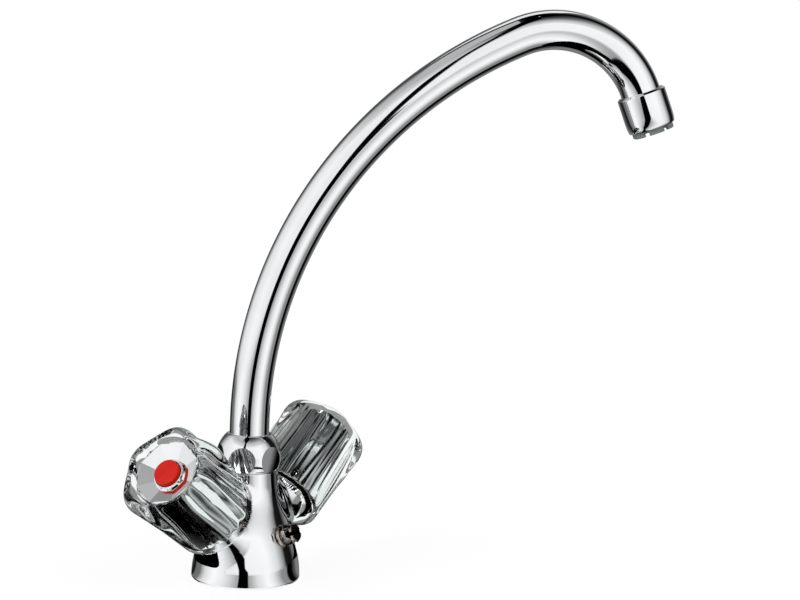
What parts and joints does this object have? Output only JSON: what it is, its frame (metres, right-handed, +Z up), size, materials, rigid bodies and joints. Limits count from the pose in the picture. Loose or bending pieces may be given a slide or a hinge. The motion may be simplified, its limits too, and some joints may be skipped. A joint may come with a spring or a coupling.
{
  "type": "two handle kitchen faucet",
  "caption": "Deck-mounted mixer tap with a swivelling swan neck spout and a clear lobed handle on an inclined arm at each side.",
  "frame": {"origin": "centre of the base on the face that sits on the deck", "axes": "+Z up along the column; -Y is the front, towards the user; the hot handle is on the -X side and the cold handle on the +X side"},
  "size_m": [0.1866, 0.1812, 0.2631],
  "materials": {
    "chrome": "polished",
    "brass": "machined",
    "dark_nickel": "dark polished nickel",
    "stainless_steel": "satin",
    "crystal": "clear polished acrylic",
    "hot_red": "gloss",
    "cold_blue": "gloss",
    "grey_plastic": "moulded",
    "white_plastic": "moulded",
    "rubber": "matte"
  },
  "bodies": {
    "tap_body": {"body_casting": "chrome", "base_gasket": "rubber", "spout_nut": "chrome", "spout_slip_ring": "white_plastic", "chain_stay_disc": "dark_nickel", "chain_stay_post": "dark_nickel", "hot_head_gasket": "rubber", "hot_valve_bonnet": "brass", "cold_head_gasket": "rubber", "cold_valve_bonnet": "brass"},
    "spout": {"spout_tube": "chrome", "spout_spigot": "brass", "spout_o_ring_lower": "rubber", "spout_o_ring_upper": "rubber", "aerator_housing": "chrome", "aerator_insert": "grey_plastic", "aerator_screen": "stainless_steel", "aerator_washer": "rubber"},
    "hot_handle": {"hot_spindle": "brass", "hot_spindle_o_ring": "rubber", "hot_spindle_circlip": "stainless_steel", "hot_handle_core": "chrome", "hot_crystal_handle": "crystal", "hot_handle_screw": "stainless_steel", "hot_index_button": "hot_red"},
    "hot_plug": {"hot_valve_plug": "brass", "hot_seat_washer": "rubber", "hot_washer_screw": "brass"},
    "cold_handle": {"cold_spindle": "brass", "cold_spindle_o_ring": "rubber", "cold_spindle_circlip": "stainless_steel", "cold_handle_core": "chrome", "cold_crystal_handle": "crystal", "cold_handle_screw": "stainless_steel", "cold_index_button": "cold_blue"},
    "cold_plug": {"cold_valve_plug": "brass", "cold_seat_washer": "rubber", "cold_washer_screw": "brass"}
  },
  "joints": [
    {"name": "spout_swivel", "type": "hinge", "parent": "tap_body", "child": "spout", "pos_m": [0, 0, 0.06], "axis": [0, 0, 1], "continuous": true},
    {"name": "hot_handle_turn", "type": "hinge", "parent": "tap_body", "child": "hot_handle", "pos_m": [0, 0, 0.0155], "axis": [-0.8192, 0, 0.5736], "range_deg": [0, 450]},
    {"name": "hot_plug_lift", "type": "slide", "parent": "tap_body", "child": "hot_plug", "axis": [-0.8192, 0, 0.5736], "range_m": [0, 0.00501]},
    {"name": "cold_handle_turn", "type": "hinge", "parent": "tap_body", "child": "cold_handle", "pos_m": [0, 0, 0.0155], "axis": [0.8192, 0, 0.5736], "range_deg": [0, 450]},
    {"name": "cold_plug_lift", "type": "slide", "parent": "tap_body", "child": "cold_plug", "axis": [0.8192, 0, 0.5736], "range_m": [0, 0.00501]}
  ],
  "couplings": [
    {"joint": "hot_plug_lift", "follows": "hot_handle_turn", "m_per_rad": 0.00063662},
    {"joint": "cold_plug_lift", "follows": "cold_handle_turn", "m_per_rad": 0.00063662}
  ]
}
